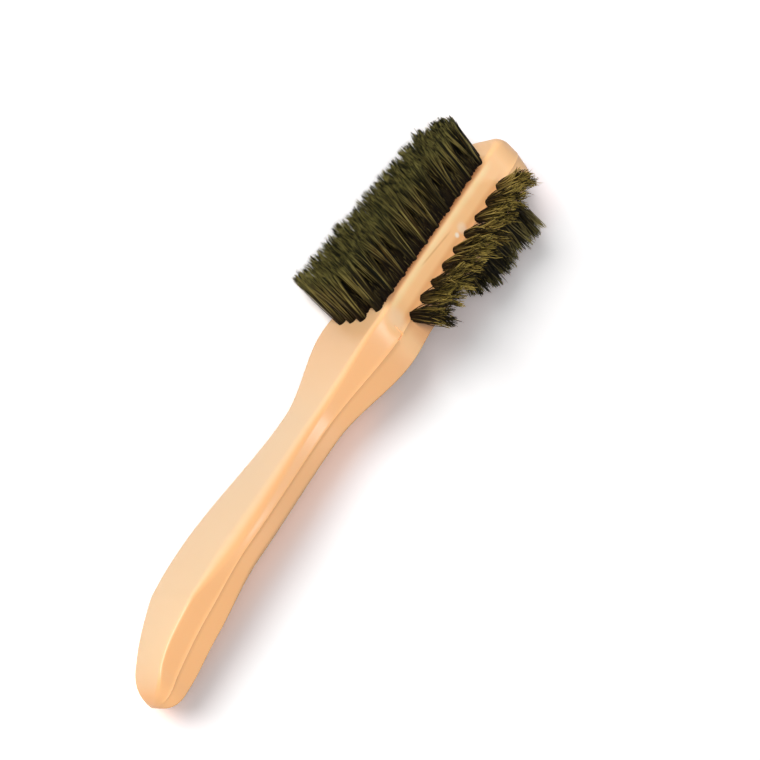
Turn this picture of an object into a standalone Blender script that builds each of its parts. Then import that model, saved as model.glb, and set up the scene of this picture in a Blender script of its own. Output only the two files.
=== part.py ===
"""Three-sided shoe brush: a moulded plastic handle with a main, a side and a back brush.

X runs along the middle of the handle towards the tip, Y towards the tips of the main
brush, and Z towards the side brush. The brush lies on its plain side, on Z = 0.
"""

import math

import bmesh
import bpy
import numpy as np
from mathutils import Matrix, Vector

# Tufts: the whole head is laid out from their pitch and rows.
TUFT_PITCH = 0.0070
SIDE_TUFTS = 9
FRONT_OUTER_TUFTS = 10
FRONT_INNER_TUFTS = 11
BACK_OUTER_TUFTS = 4
BACK_INNER_TUFTS = 5
OUTER_ROW_OFFSET = 0.0096
INNER_ROW_OFFSET = 0.0048
BACK_ROW_OFFSET = 0.0052
FRONT_START = 0.0058
BACK_START = 0.0370
FRONT_LENGTH_AT_NECK = 0.0192
FRONT_LENGTH_AT_TIP = 0.0168
SIDE_LENGTH_AT_NECK = 0.0180
SIDE_LENGTH_AT_TIP = 0.0166
BACK_LENGTH_AT_NECK = 0.0144
BACK_LENGTH_AT_TIP = 0.0156

# How far the tips of the end tufts lean past their roots: minus is towards the butt.
FRONT_LEAN_AT_NECK = -0.0014
FRONT_LEAN_AT_TIP = 0.0002
SHORT_FIELD_LEAN = 0.0005
ROW_SPREAD_SHARE = 0.08

# Strands of one tuft, each standing for a pinch of real hairs.
STRANDS_AROUND_FRONT = 5
STRANDS_AROUND_SIDE = 6
STRANDS_AROUND_BACK = 5
STRAND_SIDES = 3
STRAND_ROOT_RADIUS = 0.00038
STRAND_TIP_RADIUS = 0.00026
TUFT_ROOT_RADIUS = 0.00085
TUFT_TIP_RADIUS = 0.0018
STRAND_SINK = 0.0005
STRAND_UNEVEN = 0.0005

# Backing slices and the grooves that hold them.
SLICE_WIDTH = 0.0026
SLICE_DEPTH = 0.0016
SLICE_OVERHANG = 0.0016
SLICE_RECESS = 0.0002
SLICE_GAP = 0.0003

# Head. Front and back are measured from the mould seam.
HEAD_FRONT = 0.0092
HEAD_BACK = 0.0087
HEAD_EDGE_MARGIN = 0.0025
HEAD_TAPER = 0.0025
FACE_MARGIN = 0.0006
TIP_MARGIN = 0.0178
TIP_ROUND_LENGTH = 0.0120
TIP_ROLL_LENGTH = 0.0068
HEAD_EDGE_RADIUS = 0.0012
TIP_EDGE_RADIUS = 0.0034
HEAD_DRAFT = 0.00045

# Handle: half widths, then the depths of its front and back halves.
HANDLE_LENGTH = 0.1406
SHOULDER_HALF_WIDTH = 0.0142
NECK_HALF_WIDTH = 0.0089
GRIP_HALF_WIDTH = 0.0135
BUTT_HALF_WIDTH = 0.0067
NECK_FRONT = 0.0056
NECK_BACK = 0.0057
GRIP_FRONT = 0.0052
GRIP_BACK = 0.0062
HEEL_FRONT = 0.0075
HEEL_BACK = 0.0064
HANDLE_EDGE_RADIUS = 0.0028
HANDLE_DRAFT = 0.0007
SEAM_HEIGHT = 0.00015
SEAM_HALF_WIDTH = 0.0003

# The bow of the handle: how far its middle line leaves that of the head.
BUTT_DROP = 0.0107
HEEL_DROP = 0.0027
GRIP_RISE = 0.0010
NECK_DROP = 0.0003
BUTT_ROUND_LENGTH = 0.0076
BUTT_ROLL_LENGTH = 0.0160

# Mould mark on the side face at the neck.
MARK_FROM_TUFT = 0.0078
MARK_ALONG = 0.0028
MARK_ACROSS = 0.0036
MARK_WIDTH = 0.0004
MARK_DEPTH = 0.0004

CUTTER_OVERRUN = 0.0020

# Places along the handle, as shares of its length from the butt to the first side tuft.
BUTT_SHARE = 0.057
HEEL_SHARE = 0.190
GRIP_SHARE = 0.345
NECK_SHARE = 0.682
SHOULDER_SHARE = 0.925

# Shape of the round ends and of the cross-section.
PLAN_END_SHARE = 2.6
ROLL_END_SHARE = 2.1
LAST_RING_SHARE = 0.998
CORNER_ANGLES = (0.0, 22.5, 45.0, 67.5, 90.0)
CORNER_WIDTH_SHARE = 0.45
CORNER_HEIGHT_SHARE = 0.80
CROWN_SHARE = 0.035
FACE_SHARES = (0.5, 0.0)
END_RINGS = 10
HANDLE_RINGS = 27
SHOULDER_RINGS = 5
GOLDEN_ANGLE = math.pi * (3.0 - math.sqrt(5.0))

BODY_COLOUR = (0.90, 0.56, 0.32, 1.0)
BRISTLE_COLOUR = (0.060, 0.062, 0.022, 1.0)

FIELD_LENGTH = (SIDE_TUFTS - 1) * TUFT_PITCH
HEAD_LENGTH = FIELD_LENGTH + TIP_MARGIN
ROW_LAG = TUFT_PITCH / 2.0
FACE_START = -(FRONT_START + ROW_LAG + SLICE_OVERHANG + FACE_MARGIN)
HEAD_ROOT_HALF_WIDTH = OUTER_ROW_OFFSET + HEAD_EDGE_MARGIN
HEAD_TIP_HALF_WIDTH = HEAD_ROOT_HALF_WIDTH - HEAD_TAPER
TAPER_LENGTH = HEAD_LENGTH - TIP_ROUND_LENGTH
TAPER_ANGLE = math.atan2(HEAD_TAPER, TAPER_LENGTH)


def handle_place(share):
    """X of a share of the handle's length, with X = 0 at the first side tuft."""
    return -HANDLE_LENGTH * (1.0 - share)


WIDTH_KEYS = (
    (handle_place(BUTT_SHARE), BUTT_HALF_WIDTH),
    (handle_place(GRIP_SHARE), GRIP_HALF_WIDTH),
    (handle_place(NECK_SHARE), NECK_HALF_WIDTH),
    (handle_place(SHOULDER_SHARE), SHOULDER_HALF_WIDTH),
    (0.0, HEAD_ROOT_HALF_WIDTH),
    (TAPER_LENGTH, HEAD_TIP_HALF_WIDTH),
)
FRONT_KEYS = (
    (handle_place(HEEL_SHARE), HEEL_FRONT),
    (handle_place(GRIP_SHARE), GRIP_FRONT),
    (handle_place(NECK_SHARE), NECK_FRONT),
    (FACE_START, HEAD_FRONT),
    (HEAD_LENGTH, HEAD_FRONT),
)
BACK_KEYS = (
    (handle_place(HEEL_SHARE), HEEL_BACK),
    (handle_place(GRIP_SHARE), GRIP_BACK),
    (handle_place(NECK_SHARE), NECK_BACK),
    (FACE_START, HEAD_BACK),
    (HEAD_LENGTH, HEAD_BACK),
)
MIDDLE_KEYS = (
    (handle_place(0.0), -BUTT_DROP),
    (handle_place(HEEL_SHARE), -HEEL_DROP),
    (handle_place(GRIP_SHARE), GRIP_RISE),
    (handle_place(NECK_SHARE), -NECK_DROP),
    (FACE_START, 0.0),
    (HEAD_LENGTH, 0.0),
)


def key_slopes(xs, ys):
    """Slopes that keep a cubic through the keys free of overshoot."""
    steps = np.diff(ys) / np.diff(xs)
    slopes = np.zeros(len(xs))
    slopes[0] = steps[0]
    slopes[-1] = steps[-1]
    for i in range(1, len(xs) - 1):
        if steps[i - 1] * steps[i] > 0.0:
            slopes[i] = 2.0 * steps[i - 1] * steps[i] / (steps[i - 1] + steps[i])
    return slopes


def along_keys(keys, x):
    """Value at x of the smooth curve through (place, value) keys."""
    xs = np.array([place for place, value in keys])
    ys = np.array([value for place, value in keys])
    if x <= xs[0]:
        return float(ys[0])
    if x >= xs[-1]:
        return float(ys[-1])
    i = int(np.searchsorted(xs, x)) - 1
    slopes = key_slopes(xs, ys)
    span = xs[i + 1] - xs[i]
    t = (x - xs[i]) / span
    rise = 3.0 * t**2 - 2.0 * t**3
    start = (t**3 - 2.0 * t**2 + t) * span * slopes[i]
    end = (t**3 - t**2) * span * slopes[i + 1]
    return float(ys[i] + (ys[i + 1] - ys[i]) * rise + start + end)


def end_share(distance, length, power):
    """Share of the full size left at a distance from a round end."""
    if distance >= length:
        return 1.0
    u = min(1.0 - distance / length, LAST_RING_SHARE)
    return (1.0 - u**power) ** (1.0 / power)


def body_half_width(x):
    width = along_keys(WIDTH_KEYS, x)
    width *= end_share(x + HANDLE_LENGTH, BUTT_ROUND_LENGTH, PLAN_END_SHARE)
    return width * end_share(HEAD_LENGTH - x, TIP_ROUND_LENGTH, PLAN_END_SHARE)


def half_depth(keys, x):
    """Depth of the front or the back half, rolled off at both ends."""
    depth = along_keys(keys, x)
    depth *= end_share(x + HANDLE_LENGTH, BUTT_ROLL_LENGTH, ROLL_END_SHARE)
    return depth * end_share(HEAD_LENGTH - x, TIP_ROLL_LENGTH, ROLL_END_SHARE)


def body_stations():
    """Places of the rings: close at the round ends, even along the handle."""
    butt_end = -HANDLE_LENGTH
    butt_start = butt_end + max(BUTT_ROUND_LENGTH, BUTT_ROLL_LENGTH)
    turns = [math.pi / 2.0 * i / END_RINGS for i in range(END_RINGS + 1)]
    butt = [butt_end + (butt_start - butt_end) * (1.0 - math.cos(a)) for a in turns]
    tip = [TAPER_LENGTH + TIP_ROUND_LENGTH * math.sin(a) for a in turns]
    handle = list(np.linspace(butt_start, FACE_START, HANDLE_RINGS))[1:]
    shoulder = list(np.linspace(FACE_START, 0.0, SHOULDER_RINGS))[1:]
    return butt + handle + shoulder + tip


def smooth_step(t):
    t = min(max(t, 0.0), 1.0)
    return 3.0 * t**2 - 2.0 * t**3


def head_blend(x):
    """0 on the handle, 1 on the head."""
    neck = handle_place(NECK_SHARE)
    return smooth_step((x - neck) / (FACE_START - neck))


def edge_radius(x, width, height):
    """Radius of the long edges: soft on the handle, tight on the head, round at the tip."""
    blend = head_blend(x)
    radius = HANDLE_EDGE_RADIUS * (1.0 - blend) + HEAD_EDGE_RADIUS * blend
    radius += (TIP_EDGE_RADIUS - radius) * smooth_step((x - TAPER_LENGTH) / TIP_ROUND_LENGTH)
    return min(radius, CORNER_WIDTH_SHARE * width, CORNER_HEIGHT_SHARE * height)


def half_outline(x, height):
    """Half a cross-section as (z, y): up one drafted side, over the face and down the other."""
    width = body_half_width(x)
    blend = head_blend(x)
    radius = edge_radius(x, width, height)
    draft = HANDLE_DRAFT * (1.0 - blend) + HEAD_DRAFT * blend
    draft = min(draft, CORNER_WIDTH_SHARE * (width - radius))
    seam = min(SEAM_HALF_WIDTH, CORNER_WIDTH_SHARE * (height - radius))
    flat = width - draft - radius
    quarter = [(width, seam)]
    for degrees in CORNER_ANGLES:
        a = math.radians(degrees)
        quarter.append((flat + radius * math.cos(a), height - radius + radius * math.sin(a)))
    crown = CROWN_SHARE * (1.0 - blend) * height
    for share in FACE_SHARES:
        quarter.append((flat * share, height + crown * (1.0 - share**2)))
    return quarter + [(-z, y) for z, y in reversed(quarter[:-1])]


def body_ring(x):
    """One cross-section: its front half, its back half and the mould seams between them."""
    middle = along_keys(MIDDLE_KEYS, x)
    front = half_outline(x, half_depth(FRONT_KEYS, x))
    back = half_outline(x, half_depth(BACK_KEYS, x))
    ridge = body_half_width(x) + SEAM_HEIGHT
    outline = [(ridge, 0.0)] + front + [(-ridge, 0.0)] + [(-z, -y) for z, y in back]
    return [Vector((x, middle + y, z)) for z, y in outline]


def make_material(name, colour, roughness):
    material = bpy.data.materials.new(name)
    material.use_nodes = True
    shader = material.node_tree.nodes["Principled BSDF"]
    shader.inputs["Base Color"].default_value = colour
    shader.inputs["Roughness"].default_value = roughness
    shader.inputs["Metallic"].default_value = 0.0
    return material


def add_object(name, mesh, collection, parent, material=None):
    item = bpy.data.objects.new(name, mesh)
    collection.objects.link(item)
    item.parent = parent
    if material is not None:
        mesh.materials.append(material)
    return item


def mesh_from(bm, name):
    bmesh.ops.recalc_face_normals(bm, faces=bm.faces[:])
    mesh = bpy.data.meshes.new(name)
    bm.to_mesh(mesh)
    bm.free()
    return mesh


def make_body(collection, parent, material):
    """The handle and head: one loft through rings of unlike section."""
    bm = bmesh.new()
    rings = []
    for x in body_stations():
        rings.append([bm.verts.new(point) for point in body_ring(x)])
    for ring, following in zip(rings, rings[1:]):
        count = len(ring)
        for i in range(count):
            j = (i + 1) % count
            bm.faces.new((ring[i], following[i], following[j], ring[j]))
    bm.faces.new(rings[0])
    bm.faces.new(list(reversed(rings[-1])))
    mesh = mesh_from(bm, "handle_body")
    mesh.shade_smooth()
    mesh.set_sharp_from_angle(angle=math.radians(24.0))
    return add_object("handle_body", mesh, collection, parent, material)


def row_frame(origin, along, outward):
    """Matrix whose X runs along a row and whose Z points the way its tufts do."""
    z_axis = outward.normalized()
    x_axis = along.normalized()
    y_axis = z_axis.cross(x_axis).normalized()
    columns = Matrix((x_axis, y_axis, z_axis)).transposed().to_4x4()
    return Matrix.Translation(origin) @ columns


def box_mesh(name, frame, length, width, low, high, start):
    """A box in a row's frame, from low to high, starting at start along the row."""
    bm = bmesh.new()
    bmesh.ops.create_cube(bm, size=1.0)
    size = Matrix.Diagonal((length, width, high - low, 1.0))
    centre = Vector((start + length / 2.0, 0.0, (high + low) / 2.0))
    bmesh.ops.transform(bm, matrix=frame @ Matrix.Translation(centre) @ size, verts=bm.verts[:])
    return mesh_from(bm, name)


def add_strand(bm, frame, root, tip):
    """One straight tapering strand from root to tip, in a row's frame."""
    axis = tip - root
    turn = axis.to_track_quat("Z", "Y").to_matrix().to_4x4()
    place = Matrix.Translation((root + tip) / 2.0) @ turn
    bmesh.ops.create_cone(
        bm,
        cap_ends=True,
        segments=STRAND_SIDES,
        radius1=STRAND_ROOT_RADIUS,
        radius2=STRAND_TIP_RADIUS,
        depth=axis.length,
        matrix=frame @ place,
    )


def row_tufts(count, start, lengths, leans):
    """Place, length and lean of each tuft; lengths and leans are given at the row's ends."""
    tufts = []
    for n in range(count):
        share = n / max(count - 1, 1)
        length = lengths[0] * (1.0 - share) + lengths[1] * share
        lean = leans[0] * (1.0 - share) + leans[1] * share
        tufts.append((start + n * TUFT_PITCH, length, lean))
    return tufts


def strand_mesh(name, frame, tufts, around, spread):
    """The strands of a row: one in the middle of each tuft, the others fanning out round it."""
    bm = bmesh.new()
    for n, (place, length, lean) in enumerate(tufts):
        for k in range(around + 1):
            angle = 2.0 * math.pi * k / around + n * GOLDEN_ANGLE
            out = Vector((math.cos(angle), math.sin(angle), 0.0))
            if k == around:
                out = Vector((0.0, 0.0, 0.0))
            uneven = STRAND_UNEVEN * math.sin(k * GOLDEN_ANGLE + n)
            root = Vector((place, 0.0, -SLICE_RECESS - STRAND_SINK)) + out * TUFT_ROOT_RADIUS
            tip = Vector((place + lean, spread, length + uneven)) + out * TUFT_TIP_RADIUS
            add_strand(bm, frame, root, tip)
    return mesh_from(bm, name)


def add_boolean(item, other, operation):
    modifier = item.modifiers.new(other.name, "BOOLEAN")
    modifier.operation = operation
    modifier.solver = "EXACT"
    modifier.object = other


def hide_helper(item):
    item.hide_render = True
    item.display_type = "WIRE"


def make_row(kit, name, frame, tufts, around, spread):
    """A row of tufts fused to its backing slice, and the groove that the slice sits in."""
    start = tufts[0][0] - SLICE_OVERHANG
    length = tufts[-1][0] - tufts[0][0] + 2.0 * SLICE_OVERHANG
    low = -SLICE_RECESS - SLICE_DEPTH
    slice_mesh = box_mesh(name, frame, length, SLICE_WIDTH, low, -SLICE_RECESS, start)
    row = add_object(name, slice_mesh, kit["pieces"], kit["parent"], kit["bristle"])
    strands = strand_mesh(name + "_strands", frame, tufts, around, spread)
    helper = add_object(name + "_strands", strands, kit["cutters"], kit["parent"])
    hide_helper(helper)
    add_boolean(row, helper, "UNION")
    groove_mesh = box_mesh(
        name + "_groove", frame, length + 2.0 * SLICE_GAP, SLICE_WIDTH + 2.0 * SLICE_GAP,
        low - SLICE_GAP, CUTTER_OVERRUN, start - SLICE_GAP,
    )
    groove = add_object(name + "_groove", groove_mesh, kit["cutters"], kit["parent"])
    hide_helper(groove)
    add_boolean(kit["body"], groove, "DIFFERENCE")
    return row


def make_front_rows(kit):
    """Five rows: the outer four follow the edges of the tapering head."""
    lengths = (FRONT_LENGTH_AT_NECK, FRONT_LENGTH_AT_TIP)
    leans = (FRONT_LEAN_AT_NECK, FRONT_LEAN_AT_TIP)
    share = INNER_ROW_OFFSET / OUTER_ROW_OFFSET
    layout = (
        (OUTER_ROW_OFFSET, TAPER_ANGLE, FRONT_OUTER_TUFTS, 0.0),
        (INNER_ROW_OFFSET, TAPER_ANGLE * share, FRONT_INNER_TUFTS, ROW_LAG),
        (0.0, 0.0, FRONT_INNER_TUFTS, ROW_LAG),
        (-INNER_ROW_OFFSET, -TAPER_ANGLE * share, FRONT_INNER_TUFTS, ROW_LAG),
        (-OUTER_ROW_OFFSET, -TAPER_ANGLE, FRONT_OUTER_TUFTS, 0.0),
    )
    rows = []
    for n, (offset, angle, count, lag) in enumerate(layout):
        along = Vector((math.cos(angle), 0.0, -math.sin(angle)))
        frame = row_frame(Vector((0.0, HEAD_FRONT, offset)), along, Vector((0.0, 1.0, 0.0)))
        tufts = row_tufts(count, -FRONT_START - lag, lengths, leans)
        spread = -offset * ROW_SPREAD_SHARE
        rows.append(make_row(kit, f"front_row_{n + 1}", frame, tufts, STRANDS_AROUND_FRONT, spread))
    return rows


def make_side_row(kit):
    """One row along the mould seam of the side that faces up."""
    along = Vector((math.cos(TAPER_ANGLE), 0.0, -math.sin(TAPER_ANGLE)))
    outward = Vector((math.sin(TAPER_ANGLE), 0.0, math.cos(TAPER_ANGLE)))
    frame = row_frame(Vector((0.0, 0.0, HEAD_ROOT_HALF_WIDTH)), along, outward)
    lengths = (SIDE_LENGTH_AT_NECK, SIDE_LENGTH_AT_TIP)
    tufts = row_tufts(SIDE_TUFTS, 0.0, lengths, (-SHORT_FIELD_LEAN, SHORT_FIELD_LEAN))
    return make_row(kit, "side_row", frame, tufts, STRANDS_AROUND_SIDE, 0.0)


def make_back_rows(kit):
    """Three short rows on the back, near the tip."""
    lengths = (BACK_LENGTH_AT_NECK, BACK_LENGTH_AT_TIP)
    leans = (-SHORT_FIELD_LEAN, SHORT_FIELD_LEAN)
    layout = (
        (BACK_ROW_OFFSET, BACK_OUTER_TUFTS, 0.0),
        (0.0, BACK_INNER_TUFTS, ROW_LAG),
        (-BACK_ROW_OFFSET, BACK_OUTER_TUFTS, 0.0),
    )
    rows = []
    for n, (offset, count, lag) in enumerate(layout):
        origin = Vector((0.0, -HEAD_BACK, offset))
        frame = row_frame(origin, Vector((1.0, 0.0, 0.0)), Vector((0.0, -1.0, 0.0)))
        tufts = row_tufts(count, BACK_START - lag, lengths, leans)
        spread = offset * ROW_SPREAD_SHARE
        rows.append(make_row(kit, f"back_row_{n + 1}", frame, tufts, STRANDS_AROUND_BACK, spread))
    return rows


def cut_mould_mark(kit):
    """The short L-shaped witness groove on the side face, just behind the side brush."""
    x = -MARK_FROM_TUFT
    corner = Vector((x, 0.0, body_half_width(x)))
    end = Vector((x - MARK_ALONG, 0.0, body_half_width(x - MARK_ALONG)))
    along = corner - end
    outward = Vector((-along.z, 0.0, along.x))
    frame = row_frame(corner, along, outward)
    turned = frame @ Matrix.Rotation(math.pi / 2.0, 4, "Z")
    low = -MARK_DEPTH
    along_mesh = box_mesh(
        "mark_along", frame, MARK_ALONG, MARK_WIDTH, low, CUTTER_OVERRUN, -MARK_ALONG
    )
    across_mesh = box_mesh(
        "mark_across", turned, MARK_ACROSS, MARK_WIDTH, low - SEAM_HEIGHT, CUTTER_OVERRUN, 0.0
    )
    for name, mesh in (("mark_along", along_mesh), ("mark_across", across_mesh)):
        cutter = add_object(name, mesh, kit["cutters"], kit["parent"])
        hide_helper(cutter)
        add_boolean(kit["body"], cutter, "DIFFERENCE")


def centre_on_floor(parent, pieces):
    """Moves the whole brush so that its box stands on Z = 0, centred over the origin."""
    bpy.context.view_layer.update()
    graph = bpy.context.evaluated_depsgraph_get()
    points = []
    for piece in pieces:
        shape = piece.evaluated_get(graph)
        mesh = shape.to_mesh()
        points += [piece.matrix_world @ vertex.co for vertex in mesh.vertices]
        shape.to_mesh_clear()
    low = [min(point[i] for point in points) for i in range(3)]
    high = [max(point[i] for point in points) for i in range(3)]
    parent.location = (-(low[0] + high[0]) / 2.0, -(low[1] + high[1]) / 2.0, -low[2])
    bpy.context.view_layer.update()


def build():
    for item in list(bpy.data.objects):
        bpy.data.objects.remove(item, do_unlink=True)
    collection = bpy.data.collections.new("shoe_brush")
    cutters = bpy.data.collections.new("shoe_brush_cutters")
    bpy.context.scene.collection.children.link(collection)
    bpy.context.scene.collection.children.link(cutters)
    parent = bpy.data.objects.new("brush_frame", None)
    collection.objects.link(parent)
    plastic = make_material("peach_plastic", BODY_COLOUR, 0.32)
    bristle = make_material("dark_bristle", BRISTLE_COLOUR, 0.60)
    body = make_body(collection, parent, plastic)
    kit = {"pieces": collection, "cutters": cutters, "parent": parent, "bristle": bristle, "body": body}
    pieces = [body]
    pieces += make_front_rows(kit)
    pieces.append(make_side_row(kit))
    pieces += make_back_rows(kit)
    cut_mould_mark(kit)
    centre_on_floor(parent, pieces)


build()
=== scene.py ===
import math

import bmesh
import bpy
import numpy as np
from mathutils import Matrix, Vector


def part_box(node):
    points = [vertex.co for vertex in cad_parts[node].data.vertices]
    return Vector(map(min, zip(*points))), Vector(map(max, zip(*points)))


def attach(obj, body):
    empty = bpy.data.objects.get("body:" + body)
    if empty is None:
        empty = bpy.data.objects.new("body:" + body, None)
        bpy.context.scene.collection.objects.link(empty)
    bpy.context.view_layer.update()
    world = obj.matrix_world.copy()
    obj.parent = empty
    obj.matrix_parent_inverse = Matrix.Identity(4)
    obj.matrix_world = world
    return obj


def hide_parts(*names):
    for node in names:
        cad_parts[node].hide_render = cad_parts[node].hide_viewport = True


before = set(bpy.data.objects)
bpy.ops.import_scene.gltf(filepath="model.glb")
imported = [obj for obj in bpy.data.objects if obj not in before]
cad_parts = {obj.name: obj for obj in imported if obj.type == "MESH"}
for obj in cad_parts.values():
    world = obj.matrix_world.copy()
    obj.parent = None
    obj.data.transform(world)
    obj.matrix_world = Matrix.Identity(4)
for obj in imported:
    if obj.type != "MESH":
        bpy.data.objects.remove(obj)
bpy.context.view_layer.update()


# The moulded body, in metres; x = 0 is the first tuft of the side brush
body = {
    "handleLength": 0.1406,
    "fieldLength": 0.0560,      # first to last tuft of the side brush
    "faceStart": -0.0115,
    "tipMargin": 0.0178,
    "headFront": 0.0092,        # from the mould seam to the front and to the back
    "headBack": 0.0087,
    "headRootHalfWidth": 0.0121,
    "headTaper": 0.0025,
    "tipRound": 0.0120,
    "tipRoll": 0.0068,
    "buttRound": 0.0076,
    "buttRoll": 0.0160,
    "shoulderHalfWidth": 0.0140,
    "shoulderEnd": 0.0030,
    "neckHalfWidth": 0.0089,
    "gripHalfWidth": 0.0135,
    "buttHalfWidth": 0.0067,
    "neckFront": 0.0056,
    "neckBack": 0.0057,
    "gripFront": 0.0052,
    "gripBack": 0.0062,
    "heelFront": 0.0075,
    "heelBack": 0.0064,
    "buttDrop": 0.0107,
    "heelDrop": 0.0027,
    "gripRise": 0.0010,
    "neckDrop": 0.0003,
    "edgeRadiusHeel": 0.0012,
    "edgeRadiusGrip": 0.0042,
    "edgeRadiusNeck": 0.0024,
    "edgeRadiusHead": 0.0015,
    "edgeRadiusTip": 0.0042,
    "backEdgeShare": 0.45,      # the back edges are this much tighter than the front ones
    "draftHead": 0.00045,
    "draftHandle": 0.00015,
    "crownShare": 0.035,
    "seamHeight": 0.00012,
    "seamHalfWidth": 0.00025,
    "planPower": 2.6,
    "rollPower": 2.1,
    "endLimit": 0.9985,         # the end rings stop just short of a point
    "widthLimit": 0.45,         # the most of a ring that its edges, draft and seam may take
    "heightLimit": 0.8,
    "ringStep": 0.0011,
    "endRings": 22,
    "sideSteps": 5,
    "cornerSteps": 9,
    "faceSteps": 7,
    "sharpAngle": 28,           # degrees
}

# places along the handle as shares of its length, from the butt
bodyShares = {"butt": 0.057, "heel": 0.190, "grip": 0.345, "neck": 0.682, "shoulder": 0.925}

# the butt end, the front face and the middle of the width say where the brush lies in the frame
bodyLow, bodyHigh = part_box("handle_body")
brushOrigin = Vector((
    bodyLow.x + body["handleLength"], bodyHigh.y - body["headFront"], (bodyLow.z + bodyHigh.z) / 2))
headLength = body["fieldLength"] + body["tipMargin"]
taperLength = headLength - body["tipRound"]
taperAngle = math.atan2(body["headTaper"], taperLength)


def handlePlace(name):
    return -body["handleLength"] * (1 - bodyShares[name])


widthKeys = [
    (handlePlace("butt"), body["buttHalfWidth"]),
    (handlePlace("grip"), body["gripHalfWidth"]),
    (handlePlace("neck"), body["neckHalfWidth"]),
    (handlePlace("shoulder"), body["shoulderHalfWidth"]),
    (body["shoulderEnd"], body["headRootHalfWidth"]),
    (taperLength, body["headRootHalfWidth"] - body["headTaper"]),
]
frontKeys = [
    (handlePlace("heel"), body["heelFront"]),
    (handlePlace("grip"), body["gripFront"]),
    (handlePlace("neck"), body["neckFront"]),
    (body["faceStart"], body["headFront"]),
    (headLength, body["headFront"]),
]
backKeys = [
    (handlePlace("heel"), body["heelBack"]),
    (handlePlace("grip"), body["gripBack"]),
    (handlePlace("neck"), body["neckBack"]),
    (body["faceStart"], body["headBack"]),
    (headLength, body["headBack"]),
]
middleKeys = [
    (-body["handleLength"], -body["buttDrop"]),
    (handlePlace("heel"), -body["heelDrop"]),
    (handlePlace("grip"), body["gripRise"]),
    (handlePlace("neck"), -body["neckDrop"]),
    (body["faceStart"], 0.0),
    (headLength, 0.0),
]
edgeKeys = [
    (handlePlace("heel"), body["edgeRadiusHeel"]),
    (handlePlace("grip"), body["edgeRadiusGrip"]),
    (handlePlace("neck"), body["edgeRadiusNeck"]),
    (body["faceStart"], body["edgeRadiusHead"]),
    (taperLength, body["edgeRadiusHead"]),
    (headLength, body["edgeRadiusTip"]),
]


def alongKeys(keys, x):
    # monotone cubic through the keys
    xs = np.array([k[0] for k in keys])
    ys = np.array([k[1] for k in keys])
    if x <= xs[0]:
        return float(ys[0])
    if x >= xs[-1]:
        return float(ys[-1])
    steps = np.diff(ys) / np.diff(xs)
    slopes = np.zeros(len(xs))
    slopes[0] = steps[0]
    slopes[-1] = steps[-1]
    for i in range(1, len(xs) - 1):
        if steps[i - 1] * steps[i] > 0:
            slopes[i] = 2 * steps[i - 1] * steps[i] / (steps[i - 1] + steps[i])
    i = int(np.searchsorted(xs, x)) - 1
    span = xs[i + 1] - xs[i]
    t = (x - xs[i]) / span
    value = ys[i] + (ys[i + 1] - ys[i]) * (3 * t**2 - 2 * t**3)
    value += (t**3 - 2 * t**2 + t) * span * slopes[i] + (t**3 - t**2) * span * slopes[i + 1]
    return float(value)


def endShare(distance, length, power):
    if distance >= length:
        return 1.0
    u = min(1 - distance / length, body["endLimit"])
    return (1 - u**power) ** (1 / power)


def halfWidth(x):
    width = alongKeys(widthKeys, x)
    width *= endShare(x + body["handleLength"], body["buttRound"], body["planPower"])
    return width * endShare(headLength - x, body["tipRound"], body["planPower"])


def thicknessAt(keys, x):
    thickness = alongKeys(keys, x)
    thickness *= endShare(x + body["handleLength"], body["buttRoll"], body["rollPower"])
    return thickness * endShare(headLength - x, body["tipRoll"], body["rollPower"])


def headBlend(x):
    # 0 up to the neck, 1 from the start of the head's face
    t = (x - handlePlace("neck")) / (body["faceStart"] - handlePlace("neck"))
    t = min(max(t, 0), 1)
    return 3 * t**2 - 2 * t**3


def halfSection(x, height, edgeShare):
    # from the mould seam on one side, over the face, to the seam on the other
    width = halfWidth(x)
    blend = headBlend(x)
    radius = alongKeys(edgeKeys, x) * edgeShare
    draft = body["draftHandle"] * (1 - blend) + body["draftHead"] * blend
    crown = body["crownShare"] * (1 - blend) * height
    limit = body["widthLimit"]
    radius = min(radius, limit * width, body["heightLimit"] * height)
    draft = min(draft, limit * (width - radius))
    seam = min(body["seamHalfWidth"], limit * (height - radius))
    quarter = []
    for i in range(body["sideSteps"]):
        t = i / body["sideSteps"]
        quarter.append((width - draft * t, seam + (height - radius - seam) * t))
    for i in range(body["cornerSteps"] + 1):
        a = math.pi / 2 * i / body["cornerSteps"]
        quarter.append((width - draft - radius + radius * math.cos(a),
                        height - radius + radius * math.sin(a)))
    faceHalf = quarter[-1][0]
    for i in range(1, body["faceSteps"] + 1):
        z = faceHalf * (1 - i / body["faceSteps"])
        quarter.append((z, height + crown * (1 - (z / faceHalf) ** 2)))
    ridge = width + body["seamHeight"]
    return [(ridge, 0.0)] + quarter + [(-z, y) for z, y in reversed(quarter[:-1])]


def sectionRing(x):
    middle = alongKeys(middleKeys, x)
    front = halfSection(x, thicknessAt(frontKeys, x), 1.0)
    back = halfSection(x, thicknessAt(backKeys, x), body["backEdgeShare"])
    outline = front + [(-z, -y) for z, y in back]
    return [Vector((x, middle + y, z)) + brushOrigin for z, y in outline]


def ringPlaces():
    buttStart = -body["handleLength"] + max(body["buttRound"], body["buttRoll"])
    tipStart = headLength - body["tipRound"]
    turns = [math.pi / 2 * i / body["endRings"] for i in range(body["endRings"] + 1)]
    butt = [-body["handleLength"] + (buttStart + body["handleLength"]) * (1 - math.cos(a)) for a in turns]
    tip = [tipStart + body["tipRound"] * math.sin(a) for a in turns]
    count = int((tipStart - buttStart) / body["ringStep"])
    middle = [buttStart + (tipStart - buttStart) * i / count for i in range(1, count)]
    return butt + middle + tip


def addItem(name, data):
    item = bpy.data.objects.new(name, data)
    bpy.context.scene.collection.objects.link(item)
    return item


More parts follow.
